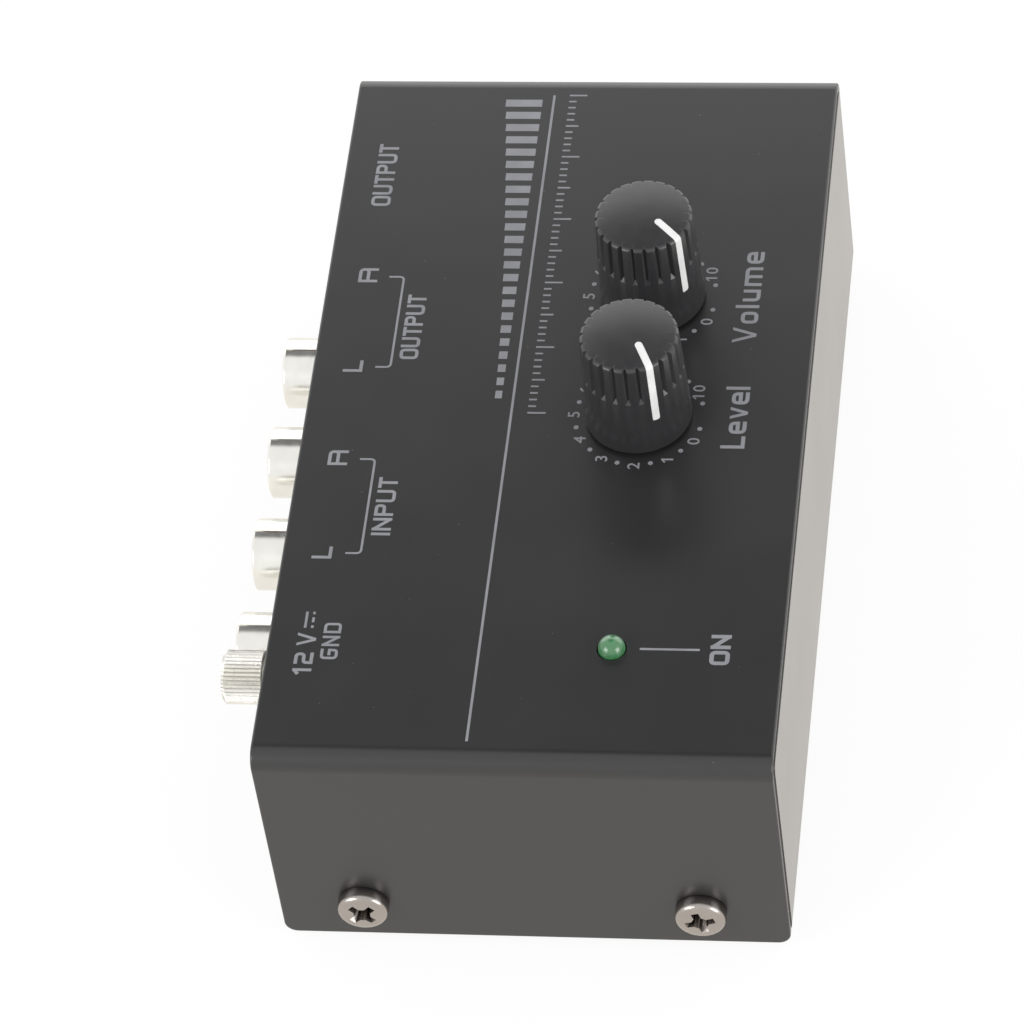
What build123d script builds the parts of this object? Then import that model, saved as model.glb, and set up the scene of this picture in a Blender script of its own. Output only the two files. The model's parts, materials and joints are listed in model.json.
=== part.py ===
"""Phono preamp: a folded steel box with two rotary controls, rear sockets and a ground terminal.

Millimetres, +Z up, front towards -Y, sockets towards +Y. Every piece is drawn in the box's own
frame, whose origin is the centre of the tray's underside. At the end all pieces are moved by
one and the same step, so that the model stands on Z = 0 with its origin at the bottom centre.
"""
import math
import os

from build123d import *

# ---------------------------------------------------------------- driving dimensions
# Housing: a cover (top and two end flaps) closes over a tray (bottom, front and rear panel).
box_width = 104.0           # outside of the end flaps
box_depth = 57.6            # cut edge to cut edge of the cover
box_height = 32.0           # underside to the painted top
sheet = 1.0                 # steel sheet of cover and tray
bend_radius = 2.2           # outside radius of every fold
corner_radius = 1.5         # lower corners of the end flaps
edge_round = 0.2            # softened rim of the cover's cut edges
panel_step = 0.12           # front and rear panel stand proud of the cover's cut edges
cover_gap = 0.1             # play between cover and tray
flange_height = 10.5        # upturned ends of the tray, which take the cover screws
relief = 2.0                # notch beside each corner of the folds

foot_radius = 4.0
foot_height = 1.8
foot_inset = 8.5

# M3 screws with pan heads
screw_radius = 1.5
screw_head_radius = 2.9
screw_head_height = 1.9
screw_head_round = 0.6
recess_width = 0.75
recess_span = 3.0
recess_depth = 1.2
cover_screw_length = 4.6
cover_screw_y = 19.1
cover_screw_z = 6.0
thread_play = 0.05          # between a thread and its tapped hole
hole_play = 0.2             # between a thread and a plain hole
boss_radius = 2.4           # drawn collar round each tapped hole
boss_length = 1.2

# Circuit board on four hexagonal spacers
board_thickness = 1.6
board_end_gap = 4.9         # from the tray's end to the board
board_front_gap = 4.5
board_rear_gap = 1.0
board_corner = 1.0
spacer_height = 3.0
spacer_across = 5.5
board_hole_inset = 5.0
rear_hole_x = 23.5
rear_hole_y = 9.0
screw_tip_gap = 0.3         # board screws end this far above the tray

# Two controls: long-shafted potentiometers that stand on the board
level_x = -1.7
control_pitch = 18.1
control_y = -9.8
dial_sweep = 300.0          # full turn of a control, in degrees
dial_steps = 10
level_setting = 1.0         # where each pointer stands on its dial of 0 to 10
volume_setting = 0.3
pot_width = 9.8
pot_depth = 11.0
pot_height = 6.8
pot_floor = 1.0
pot_chamfer = 0.6
pot_bush_radius = 3.7
pot_bush_height = 2.0
pot_pin_pitch = 2.5
pot_pin_width = 0.8
pot_pin_length = 1.6
pot_pin_thickness = 0.4
shaft_radius = 3.0
shaft_flat = 1.5            # distance of the D flat from the axis
shaft_play = 0.05           # running clearance in the bush
shaft_hole_play = 0.6       # free space round the shaft in the cover
rotor_radius = 4.0
rotor_height = 1.6

knob_gap = 0.5              # between knob and cover
knob_height = 13.8
knob_base_radius = 6.1
knob_top_radius = 5.6
knob_crown = 0.35           # rise of the domed top
knob_rim = 0.45             # rounded upper edge
knob_socket_depth = 9.0
knob_socket_end = 0.3       # left free above the shaft's end
knob_fit = 0.02             # push fit on the shaft
knob_recess_radius = 5.0
knob_recess_depth = 2.0
flute_count = 24
flute_start = 7.5           # lower ends of the flutes, above the knob's base
flute_root = 5.28           # radius of their bottoms, which run straight up the tapered knob
flute_half_angle = 40.0
pointer_width = 0.87
pointer_depth = 0.4
pointer_inner = 1.6         # the white line starts this far from the axis
pointer_low = 4.8           # and ends this far above the knob's base

# Power light on a tall spacer
light_from_end = 16.4
lens_radius = 1.55
lens_hole_play = 0.12
lens_flange_radius = 1.9
lens_flange_height = 1.0
lens_length = 5.3
lead_radius = 0.25
lead_pitch = 2.54
lead_hole_play = 0.1
light_spacer_radius = 2.6

# Four phono sockets in a row
socket_pitch = 14.0
socket_row_x = -1.6
socket_axis_height = 8.8    # above the board
shell_radius = 4.2
shell_wall = 0.4
shell_reach = 6.9           # beyond the rear panel
shell_lip = 0.28
shell_collar = 0.5          # thicker where it passes through the panel
seam_width = 0.16
panel_hole_play = 0.15
face_play = 0.05            # between flat faces that only meet
liner_play = 0.05
liner_recess = 1.0
pin_hole_radius = 1.7
pin_hole_length = 1.5
contact_radius = 2.25
contact_wall = 0.35
contact_slot = 0.4
socket_body_width = 10.6
socket_body_depth = 11.5
socket_body_above = 5.6     # top of the block over the socket's axis
socket_body_chamfer = 1.0

# Quarter-inch output socket
output_pitch = 16.0         # from the last phono socket
output_width = 15.0
output_depth = 31.0
output_above = 6.8
output_bore = 3.25
output_bore_depth = 29.5
output_nose_radius = 5.0
output_nose_reach = 0.3
output_mouth = 0.4
output_chamfer = 1.2
output_slot_width = 3.0
output_slot_length = 7.0
output_slot_starts = (11.0, 20.0)
spring_thickness = 0.4
spring_bump = 1.2

# Power inlet
inlet_pitch = 12.9          # from the first phono socket
inlet_axis_height = 6.5
inlet_width = 9.0
inlet_depth = 13.5
inlet_bore = 3.2
inlet_bore_depth = 9.5
inlet_pin_radius = 1.05
inlet_pin_length = 8.6
inlet_window_radius = 3.6

# Ground terminal
terminal_shift = 0.1        # the terminal stands over the power inlet, this far to its right
terminal_drop = 6.6         # axis below the painted top
post_radius = 1.75
post_flange_radius = 2.95
post_flange_height = 0.3
post_inside = 4.6           # beyond the panel's inner face
post_outside = 5.4          # beyond its outer face
post_chamfer = 0.3
terminal_nut_radius = 3.07
terminal_nut_length = 4.9
terminal_nut_chamfer = 0.35
washer_radius = 2.9
washer_height = 0.3
lock_nut_across = 6.0
lock_nut_height = 2.4
lug_radius = 3.2
lug_height = 0.5
lug_tail_width = 2.4
wire_radius = 0.5
wire_bend = 2.5
wire_clearance = 0.4        # beside the power inlet

# Parts of the circuit, in rows between the sockets and the front
part_gap = 1.5              # free board between neighbouring parts
chip_length = 9.6
chip_width = 6.4
chip_height = 3.3
chip_stand = 0.5
chip_bevel = 0.3
chip_pin_pitch = 2.54
chip_pin_width = 0.5
chip_pin_reach = 0.7
chip_pin_height = 2.0
can_radius = 3.15
can_height = 11.0
can_bevel = 0.4
film_length = 7.2
film_width = 2.5
film_height = 6.5
film_round = 0.4
resistor_radius = 1.15
resistor_length = 6.3
resistor_bevel = 0.4
resistor_lead_radius = 0.3
resistor_lead_reach = 1.5
regulator_radius = 2.3
regulator_height = 5.0
regulator_flat = 1.2        # distance of its flat face from the axis

# ---------------------------------------------------------------- derived places
tray_length = box_width - 2 * sheet - 2 * cover_gap
tray_depth = box_depth + 2 * panel_step
tray_height = box_height - sheet - cover_gap
panel_outside = tray_depth / 2
panel_inside = panel_outside - sheet
body_front = panel_inside - face_play          # blocks behind the rear panel start here
board_bottom = sheet + spacer_height
board_top = board_bottom + board_thickness
board_half_width = tray_length / 2 - board_end_gap
board_front = -panel_inside + board_front_gap
board_rear = panel_inside - board_rear_gap
socket_z = board_top + socket_axis_height
inlet_z = board_top + inlet_axis_height
terminal_z = box_height - terminal_drop
light_x = -box_width / 2 + light_from_end
volume_x = level_x + control_pitch
film_y = body_front - socket_body_depth - part_gap - film_width / 2
chip_y = film_y - film_width / 2 - part_gap - chip_width / 2 - chip_pin_reach
can_y = chip_y - chip_width / 2 - chip_pin_reach - part_gap - can_radius
resistor_y = board_front + part_gap + resistor_radius
first_socket_x = socket_row_x - 1.5 * socket_pitch
last_socket_x = socket_row_x + 1.5 * socket_pitch
output_x = last_socket_x + output_pitch
inlet_x = first_socket_x - inlet_pitch
terminal_x = inlet_x + terminal_shift
wire_x = inlet_x - inlet_width / 2 - wire_clearance - wire_radius
knob_base_z = box_height + knob_gap
shell_length = face_play + sheet + shell_reach
liner_length = shell_length - liner_recess
lens_base_z = box_height + lens_radius - lens_length

UP = (Align.CENTER, Align.CENTER, Align.MIN)
ENDS = (-1, 1)
REARWARD = Rot(-90, 0, 0)                      # turns +Z into +Y, and +Y into -Z

cover_screw_places = [(side, along * cover_screw_y) for side in ENDS for along in ENDS]
board_hole_places = [(side * (board_half_width - board_hole_inset), board_front + board_hole_inset)
                     for side in ENDS]
board_hole_places += [(side * rear_hole_x, rear_hole_y) for side in ENDS]
socket_names = ("left_input", "right_input", "left_output", "right_output")
socket_places = {name: first_socket_x + i * socket_pitch for i, name in enumerate(socket_names)}


def dial_turn(setting):
    """Turn about +Z, in degrees, of a pointer that starts at the rear, for a dial setting."""
    return dial_sweep / 2 - setting * dial_sweep / dial_steps


controls = {
    "level": (level_x, dial_turn(level_setting)),
    "volume": (volume_x, dial_turn(volume_setting)),
}


# ---------------------------------------------------------------- small helpers
def rod(radius, length):
    """A cylinder that stands on its base."""
    return Cylinder(radius, length, align=UP)


def tube(outer, inner, length):
    return rod(outer, length) - rod(inner, length)


def block(width, depth, height):
    """A box that stands on its base."""
    return Box(width, depth, height, align=UP)


def block_behind_panel(width, depth, height):
    """A block on the board whose front lies against the rear panel."""
    return Box(width, depth, height, align=(Align.CENTER, Align.MAX, Align.MIN))


def hexagon_bar(across, length):
    return extrude(RegularPolygon(across / 2, 6, major_radius=False), length)


def folded_section(width, height):
    """A strip of sheet folded up at both ends, standing on its middle."""
    outer = Pos(0, height / 2) * Rectangle(width, height)
    outer = fillet(outer.vertices().group_by(Axis.Y)[0], bend_radius)
    inner = Pos(0, height / 2 + sheet) * Rectangle(width - 2 * sheet, height)
    inner = fillet(inner.vertices().group_by(Axis.Y)[0], bend_radius - sheet)
    return outer - inner


def pan_screw(length):
    """A pan-head screw, head upwards, with its head seated on Z = 0."""
    head = rod(screw_head_radius, screw_head_height)
    head = chamfer(head.edges().sort_by(Axis.Z)[-1], screw_head_round)
    cross = Rectangle(recess_span, recess_width) + Rectangle(recess_width, recess_span)
    head -= Pos(0, 0, screw_head_height - recess_depth) * extrude(cross, 2 * recess_depth)
    return head + Pos(0, 0, -length) * rod(screw_radius, length)


# ---------------------------------------------------------------- housing
def top_cover():
    section = Pos(0, box_height / 2) * Rectangle(box_width, box_height)
    section = fillet(section.vertices().group_by(Axis.Y)[-1], bend_radius)
    cover = extrude(Plane.XZ * section, box_depth / 2, both=True)
    cover = fillet(cover.edges().filter_by(Axis.X).group_by(Axis.Z)[0], corner_radius)
    rim = cover.edges().filter_by(Axis.X).group_by(Axis.Z)[-1]
    cover = fillet(rim, edge_round)
    inside = Pos(0, box_height / 2 - sheet) * Rectangle(box_width - 2 * sheet, box_height)
    inside = fillet(inside.vertices().group_by(Axis.Y)[-1], bend_radius - sheet)
    cover -= extrude(Plane.XZ * inside, box_depth, both=True)
    holes = [(x, shaft_radius + shaft_hole_play) for x, turn in controls.values()]
    holes += [(light_x, lens_radius + lens_hole_play)]
    for x, radius in holes:
        cover -= Pos(x, control_y, box_height) * Cylinder(radius, 4 * sheet)
    for side, y in cover_screw_places:
        hole = Cylinder(screw_radius + hole_play, 4 * sheet, rotation=(0, 90, 0))
        cover -= Pos(side * box_width / 2, y, cover_screw_z) * hole
    return cover


def chassis_tray():
    tray = extrude(Plane.YZ * folded_section(tray_depth, tray_height), tray_length / 2, both=True)
    panel_tops = tray.edges().filter_by(Axis.Y).group_by(Axis.Z)[-1]
    tray = fillet(panel_tops, bend_radius - sheet)
    for side in ENDS:
        strip = block(2 * bend_radius, tray_depth - 2 * bend_radius, 2 * sheet)
        tray -= Pos(side * tray_length / 2, 0, -sheet / 2) * strip
    flange_half = tray_depth / 2 - bend_radius - relief
    tray += extrude(Plane.XZ * folded_section(tray_length, flange_height), flange_half, both=True)
    for side, y in cover_screw_places:
        inward = Pos(side * tray_length / 2, y, cover_screw_z) * Rot(0, -90 * side, 0)
        tray += inward * rod(boss_radius, sheet + boss_length)
        tray -= inward * rod(screw_radius + thread_play, 2 * sheet + boss_length)
    shell_hole = shell_radius + shell_collar + panel_hole_play
    holes = [(x, socket_z, shell_hole) for x in socket_places.values()]
    holes += [(output_x, socket_z, output_nose_radius + panel_hole_play)]
    holes += [(inlet_x, inlet_z, inlet_window_radius)]
    holes += [(terminal_x, terminal_z, post_radius + hole_play)]
    for x, z, radius in holes:
        tray -= Pos(x, panel_inside - sheet, z) * REARWARD * rod(radius, 3 * sheet)
    return tray


def cover_screws():
    screw = pan_screw(cover_screw_length)
    return [
        Pos(side * box_width / 2, y, cover_screw_z) * Rot(0, 90 * side, 0) * screw
        for side, y in cover_screw_places
    ]


def rubber_feet():
    foot = rod(foot_radius, foot_height)
    foot = chamfer(foot.edges().sort_by(Axis.Z)[0], foot_height / 3)
    foot_x = box_width / 2 - foot_inset
    foot_y = box_depth / 2 - foot_inset
    return [Pos(sx * foot_x, sy * foot_y, -foot_height) * foot for sx in ENDS for sy in ENDS]


# ---------------------------------------------------------------- circuit board and its parts
def circuit_board():
    board = block(2 * board_half_width, board_rear - board_front, board_thickness)
    board = fillet(board.edges().filter_by(Axis.Z), board_corner)
    board = Pos(0, (board_front + board_rear) / 2, board_bottom) * board
    for x, y in board_hole_places:
        board -= Pos(x, y, board_bottom) * rod(screw_radius + hole_play, board_thickness)
    return board


def board_spacers():
    spacer = hexagon_bar(spacer_across, spacer_height)
    spacer -= rod(screw_radius + thread_play, spacer_height)
    return [Pos(x, y, sheet) * spacer for x, y in board_hole_places]


def board_screws():
    screw = pan_screw(board_thickness + spacer_height - screw_tip_gap)
    return [Pos(x, y, board_top) * screw for x, y in board_hole_places]


def amplifier_chips():
    chip = block(chip_length, chip_width, chip_height)
    chip = Pos(0, 0, chip_stand) * chamfer(chip.edges().group_by(Axis.Z)[-1], chip_bevel)
    pin = block(chip_pin_width, chip_pin_reach, chip_pin_height)
    for column in range(4):
        for side in ENDS:
            x = (column - 1.5) * chip_pin_pitch
            chip += Pos(x, side * (chip_width + chip_pin_reach) / 2, 0) * pin
    return [Pos(socket_row_x + side * socket_pitch / 2, chip_y, board_top) * chip for side in ENDS]


def electrolytic_capacitors():
    can = rod(can_radius, can_height)
    can = chamfer(can.edges().sort_by(Axis.Z)[-1], can_bevel)
    first = level_x - pot_width / 2 - part_gap - can_radius
    pitch = 2 * can_radius + part_gap
    return [Pos(first - i * pitch, can_y, board_top) * can for i in range(3)]


def film_capacitors():
    film = block(film_length, film_width, film_height)
    film = fillet(film.edges().filter_by(Axis.Z), film_round)
    pitch = film_length + part_gap
    return [Pos(socket_row_x + (i - 1.5) * pitch, film_y, board_top) * film for i in range(4)]


def resistors():
    """Lying between the two front spacers, leads out of both ends."""
    lying = Pos(0, 0, resistor_radius) * Rot(0, 90, 0)
    body = lying * Cylinder(resistor_radius, resistor_length)
    body = chamfer(body.edges(), resistor_bevel)
    body += lying * Cylinder(resistor_lead_radius, resistor_length + 2 * resistor_lead_reach)
    pitch = resistor_length + 2 * resistor_lead_reach + part_gap
    return [Pos((i - 2.5) * pitch, resistor_y, board_top) * body for i in range(6)]


def voltage_regulator():
    case = rod(regulator_radius, regulator_height)
    cut = block(2 * regulator_radius, 2 * regulator_radius, regulator_height)
    case -= Pos(0, -regulator_flat - regulator_radius, 0) * cut
    y = body_front - inlet_depth - part_gap - regulator_radius
    return Pos(inlet_x, y, board_top) * case


# ---------------------------------------------------------------- controls
def pot_body(x):
    body = block(pot_width, pot_depth, pot_height)
    body = chamfer(body.edges().group_by(Axis.Z)[-1], pot_chamfer)
    body += Pos(0, 0, pot_height) * rod(pot_bush_radius, pot_bush_height)
    for pin in (-1, 0, 1):
        foot = block(pot_pin_width, pot_pin_length, pot_pin_thickness)
        body += Pos(pin * pot_pin_pitch, -(pot_depth + pot_pin_length) / 2, 0) * foot
    body -= Pos(0, 0, pot_floor) * rod(shaft_radius + shaft_play, pot_height + pot_bush_height)
    chamber = rod(rotor_radius + shaft_play, rotor_height + 2 * shaft_play)
    body -= Pos(0, 0, pot_floor) * chamber
    return Pos(x, control_y, board_top) * body


def pot_shaft(x, turn):
    """Shaft and rotor disc. The D flat faces away from the pointer."""
    rotor_z = board_top + pot_floor + shaft_play
    top = knob_base_z + knob_socket_depth - knob_socket_end
    shaft = rod(rotor_radius, rotor_height) + rod(shaft_radius, top - rotor_z)
    cut = block(2 * shaft_radius, 2 * shaft_radius, top)
    shaft -= Pos(0, -shaft_flat - shaft_radius, box_height + sheet - rotor_z) * cut
    return Pos(x, control_y, rotor_z) * Rot(0, 0, turn) * shaft


def knob_outline(inset=0.0):
    """The uncut knob: a slight taper, a rounded rim and a domed top, drawn in by inset."""
    base = knob_base_radius - inset
    top = knob_top_radius - inset
    shoulder = knob_height - knob_crown - inset
    crown = shoulder + knob_crown
    profile = Polyline((0, crown), (0, 0), (base, 0), (top, shoulder))
    dome_radius = (top ** 2 + knob_crown ** 2) / (2 * knob_crown)
    profile += RadiusArc((top, shoulder), (0, crown), -dome_radius)
    half = make_face(profile)
    half = fillet(half.vertices().sort_by_distance((top, shoulder))[0], knob_rim)
    return revolve(Plane.XZ * half, Axis.Z)


def pointer_slot():
    """The slot of the white line: from near the axis outwards, over the rim and down the side."""
    half = pointer_width / 2
    slot = Pos(0, pointer_inner + half + knob_base_radius, pointer_low)
    slot *= block(pointer_width, 2 * knob_base_radius, knob_height)
    slot += Pos(0, pointer_inner + half, pointer_low) * rod(half, knob_height)
    return slot - knob_outline(pointer_depth)


def knob_pointer(x, turn):
    line = knob_outline() & pointer_slot()
    return Pos(x, control_y, knob_base_z) * Rot(0, 0, turn) * line


def flute_tool():
    """A V groove with a straight upright root and a sloping lower end."""
    reach = knob_base_radius + 0.5
    half_width = (reach - flute_root) * math.tan(math.radians(flute_half_angle))
    section = make_face(Polyline((0, flute_root), (half_width, reach), (-half_width, reach), close=True))
    ramp = Cone(reach, flute_root, reach - flute_root, align=UP)
    return Pos(0, 0, flute_start) * (extrude(section, knob_height) - ramp)


def knob(x, turn):
    body = knob_outline()
    step = 360 / flute_count
    body -= [Rot(0, 0, i * step) * flute_tool() for i in range(1, flute_count)]
    body -= pointer_slot()
    socket = rod(shaft_radius + knob_fit, knob_socket_depth)
    flat = Pos(0, -shaft_flat - knob_fit - shaft_radius, knob_recess_depth)
    socket -= flat * block(2 * shaft_radius + 1, 2 * shaft_radius, knob_height)
    body -= socket + rod(knob_recess_radius, knob_recess_depth)
    return Pos(x, control_y, knob_base_z) * Rot(0, 0, turn) * body


# ---------------------------------------------------------------- power light
def light_lens():
    lens = rod(lens_radius, lens_length - lens_radius)
    lens += Pos(0, 0, lens_length - lens_radius) * Sphere(lens_radius)
    lens += rod(lens_flange_radius, lens_flange_height)
    return Pos(light_x, control_y, lens_base_z) * lens


def light_leads():
    lead = rod(lead_radius, lens_base_z - board_top)
    return [Pos(light_x + side * lead_pitch / 2, control_y, board_top) * lead for side in ENDS]


def light_spacer():
    height = lens_base_z - board_top
    spacer = rod(light_spacer_radius, height)
    for side in ENDS:
        spacer -= Pos(side * lead_pitch / 2, 0, 0) * rod(lead_radius + lead_hole_play, height)
    return Pos(light_x, control_y, board_top) * spacer


# ---------------------------------------------------------------- phono sockets
def phono_shell(x):
    """Rolled metal shell with an open seam on top, a rounded mouth and a collar in the panel."""
    shell = tube(shell_radius, shell_radius - shell_wall, shell_length)
    mouth = shell.edges().group_by(Axis.Z)[-1].sort_by(SortBy.RADIUS)[-1]
    shell = fillet(mouth, shell_lip)
    shell += tube(shell_radius + shell_collar, shell_radius - shell_wall, face_play + sheet)
    seam = block(seam_width, 2 * (shell_wall + shell_collar), shell_length)
    shell -= Pos(0, -shell_radius, 0) * seam
    return Pos(x, body_front, socket_z) * REARWARD * shell


def phono_liner(x):
    """Plastic core of the socket: a pin hole at the mouth, wider behind for the contact."""
    liner = rod(shell_radius - shell_wall - liner_play, liner_length)
    liner -= rod(pin_hole_radius, liner_length)
    liner -= rod(contact_radius + liner_play, liner_length - pin_hole_length)
    return Pos(x, body_front, socket_z) * REARWARD * liner


def phono_contact(x):
    """Tube of two spring halves round the plug's pin."""
    length = liner_length - pin_hole_length - liner_play
    contact = tube(contact_radius, contact_radius - contact_wall, length)
    slot = block(3 * contact_radius, contact_slot, length)
    contact -= Pos(0, 0, length / 3) * slot
    return Pos(x, body_front, socket_z) * REARWARD * contact


def phono_body(x):
    height = socket_axis_height + socket_body_above
    body = block_behind_panel(socket_body_width, socket_body_depth, height)
    body = chamfer(body.edges().filter_by(Axis.Y).group_by(Axis.Z)[-1], socket_body_chamfer)
    return Pos(x, body_front, board_top) * body


# ---------------------------------------------------------------- quarter-inch output socket
def output_body():
    """Hollow block with a round nose through the panel, and side windows for the springs."""
    height = socket_axis_height + output_above
    body = block_behind_panel(output_width, output_depth, height)
    body = chamfer(body.edges().filter_by(Axis.Y).group_by(Axis.Z)[-1], output_chamfer)
    body = Pos(output_x, body_front, board_top) * body
    nose_length = face_play + sheet + output_nose_reach
    axis = Pos(output_x, body_front, socket_z) * REARWARD
    nose = rod(output_nose_radius, nose_length)
    nose = fillet(nose.edges().sort_by(Axis.Z)[-1], output_nose_reach / 2)
    body += axis * nose
    bore_start = nose_length - output_bore_depth
    body -= axis * Pos(0, 0, bore_start) * rod(output_bore, output_bore_depth)
    mouth = Cone(output_bore, output_bore + output_mouth, output_mouth, align=UP)
    body -= axis * Pos(0, 0, nose_length - output_mouth) * mouth
    for side, start in zip(ENDS, output_slot_starts):
        window = block(output_width, output_slot_width, output_slot_length)
        place = Pos(side * output_width / 2, 0, -start - output_slot_length)
        body -= axis * place * window
    return body


def output_springs():
    """One bent leaf in each window, its bow just clear of the plug."""
    springs = []
    tip = output_bore + spring_thickness / 2
    root = tip + spring_bump
    for side, start in zip(ENDS, output_slot_starts):
        half = output_slot_length / 2 - spring_thickness
        line = Polyline((root, -half), (tip, 0), (root, half))
        leaf = make_face(offset(line, spring_thickness / 2))
        leaf = extrude(Plane.XZ * leaf, output_slot_width / 2 - liner_play, both=True)
        place = Pos(output_x, body_front - start - output_slot_length / 2, socket_z)
        springs.append(place * REARWARD * Rot(0, 0, 0 if side > 0 else 180) * leaf)
    return springs


# ---------------------------------------------------------------- power inlet
def inlet_body():
    height = inlet_axis_height + inlet_width / 2
    body = block_behind_panel(inlet_width, inlet_depth, height)
    body = fillet(body.edges().filter_by(Axis.Y).group_by(Axis.Z)[-1], inlet_width / 2 - 0.5)
    body = Pos(inlet_x, body_front, board_top) * body
    axis = Pos(inlet_x, body_front, inlet_z) * REARWARD
    return body - axis * Pos(0, 0, -inlet_bore_depth) * rod(inlet_bore, inlet_bore_depth)


def inlet_pin():
    pin = rod(inlet_pin_radius, inlet_pin_length)
    pin = fillet(pin.edges().sort_by(Axis.Z)[-1], inlet_pin_radius / 2)
    return Pos(inlet_x, body_front - inlet_bore_depth, inlet_z) * REARWARD * pin


def inlet_spring():
    """Flat side contact along the inlet's wall."""
    leaf = block(spring_thickness, 2.0, inlet_bore_depth - 2.0)
    shift = Pos(inlet_bore - spring_thickness, 0, 1.0 - inlet_bore_depth)
    return Pos(inlet_x, body_front, inlet_z) * REARWARD * shift * leaf


# ---------------------------------------------------------------- ground terminal
def terminal_place(reach):
    """Along the terminal's axis, reach beyond the rear panel's outer face."""
    return Pos(terminal_x, panel_outside + reach, terminal_z) * REARWARD


def ground_post():
    stem_start = -sheet - post_inside
    stem = rod(post_radius, post_outside - stem_start)
    stem = chamfer(stem.edges().group_by(Axis.Z)[-1], post_chamfer)
    post = Pos(0, 0, stem_start) * stem + rod(post_flange_radius, post_flange_height)
    return terminal_place(0) * post


def ground_washer():
    washer = tube(washer_radius, post_radius + thread_play, washer_height)
    return terminal_place(post_flange_height + face_play) * washer


def ground_thumb_nut():
    nut = rod(terminal_nut_radius, terminal_nut_length)
    nut = chamfer(nut.edges(), terminal_nut_chamfer)
    nut -= rod(post_radius + thread_play, terminal_nut_length)
    return terminal_place(post_flange_height + washer_height + 2 * face_play) * nut


def ground_lug():
    """Ring with a solder tail that points to the left end of the box."""
    lug = rod(lug_radius, lug_height)
    reach = terminal_x - wire_x + lug_tail_width / 2
    tail = block(reach, lug_tail_width, lug_height)
    tail = fillet(tail.edges().filter_by(Axis.Z), lug_tail_width / 4)
    lug += Pos(-reach / 2, 0, 0) * tail
    lug -= rod(post_radius + thread_play, lug_height)
    return terminal_place(-sheet - lug_height) * lug


def ground_lock_nut():
    nut = hexagon_bar(lock_nut_across, lock_nut_height) - rod(post_radius + thread_play, lock_nut_height)
    return terminal_place(-sheet - lug_height - lock_nut_height) * nut


def ground_wire():
    """Lead from under the lug's tail, away from the panel and down to the board."""
    near_panel = panel_inside - wire_radius - 2 * face_play
    over_board = board_rear - 4 * wire_radius
    top = terminal_z - lug_tail_width / 2
    run = (top - board_top) / 3
    route = [(near_panel, top), (near_panel, top - run), (over_board, board_top + run),
             (over_board, board_top)]
    path = FilletPolyline(*[(wire_x, y, z) for y, z in route], radius=wire_bend)
    return sweep(Plane((wire_x, near_panel, top)) * Circle(wire_radius), path)


# ---------------------------------------------------------------- the whole
pieces = {
    "top_cover": top_cover(),
    "chassis_tray": chassis_tray(),
    "cover_screws": cover_screws(),
    "rubber_feet": rubber_feet(),
    "circuit_board": circuit_board(),
    "board_spacers": board_spacers(),
    "board_screws": board_screws(),
    "amplifier_chips": amplifier_chips(),
    "electrolytic_capacitors": electrolytic_capacitors(),
    "film_capacitors": film_capacitors(),
    "resistors": resistors(),
    "voltage_regulator": voltage_regulator(),
    "light_lens": light_lens(),
    "light_leads": light_leads(),
    "light_spacer": light_spacer(),
    "output_jack_body": output_body(),
    "output_jack_springs": output_springs(),
    "power_inlet_body": inlet_body(),
    "power_inlet_pin": inlet_pin(),
    "power_inlet_spring": inlet_spring(),
    "ground_post": ground_post(),
    "ground_washer": ground_washer(),
    "ground_thumb_nut": ground_thumb_nut(),
    "ground_lug": ground_lug(),
    "ground_lock_nut": ground_lock_nut(),
    "ground_wire": ground_wire(),
}
for name, (x, turn) in controls.items():
    pieces[name + "_pot_body"] = pot_body(x)
    pieces[name + "_pot_shaft"] = pot_shaft(x, turn)
    pieces[name + "_knob"] = knob(x, turn)
    pieces[name + "_pointer"] = knob_pointer(x, turn)
for name, x in socket_places.items():
    pieces[name + "_shell"] = phono_shell(x)
    pieces[name + "_liner"] = phono_liner(x)
    pieces[name + "_contact"] = phono_contact(x)
    pieces[name + "_socket_body"] = phono_body(x)

stand = Pos(0, -shell_reach / 2, foot_height)
os.makedirs("parts", exist_ok=True)
for name, shape in pieces.items():
    solids = shape if isinstance(shape, list) else [shape]
    export_step(stand * Compound(solids), f"parts/{name}.step")
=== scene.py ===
# %% [markdown]
# # A small phono preamp, dressed in Blender
#
# The object is a black folded steel box, a little longer than a hand is wide. Two fluted knobs
# and a green power light stand on its top, and four phono sockets and a ground terminal look
# out of its rear panel. The construction model already gives every part its place and size, so
# this lesson starts from that frame, models the pieces whose form carries fine detail, prints
# the legends, mixes the finishes and sets up a plain studio.

# %% Load the frame
import json
import math

import bpy
from mathutils import Matrix, Vector


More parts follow.
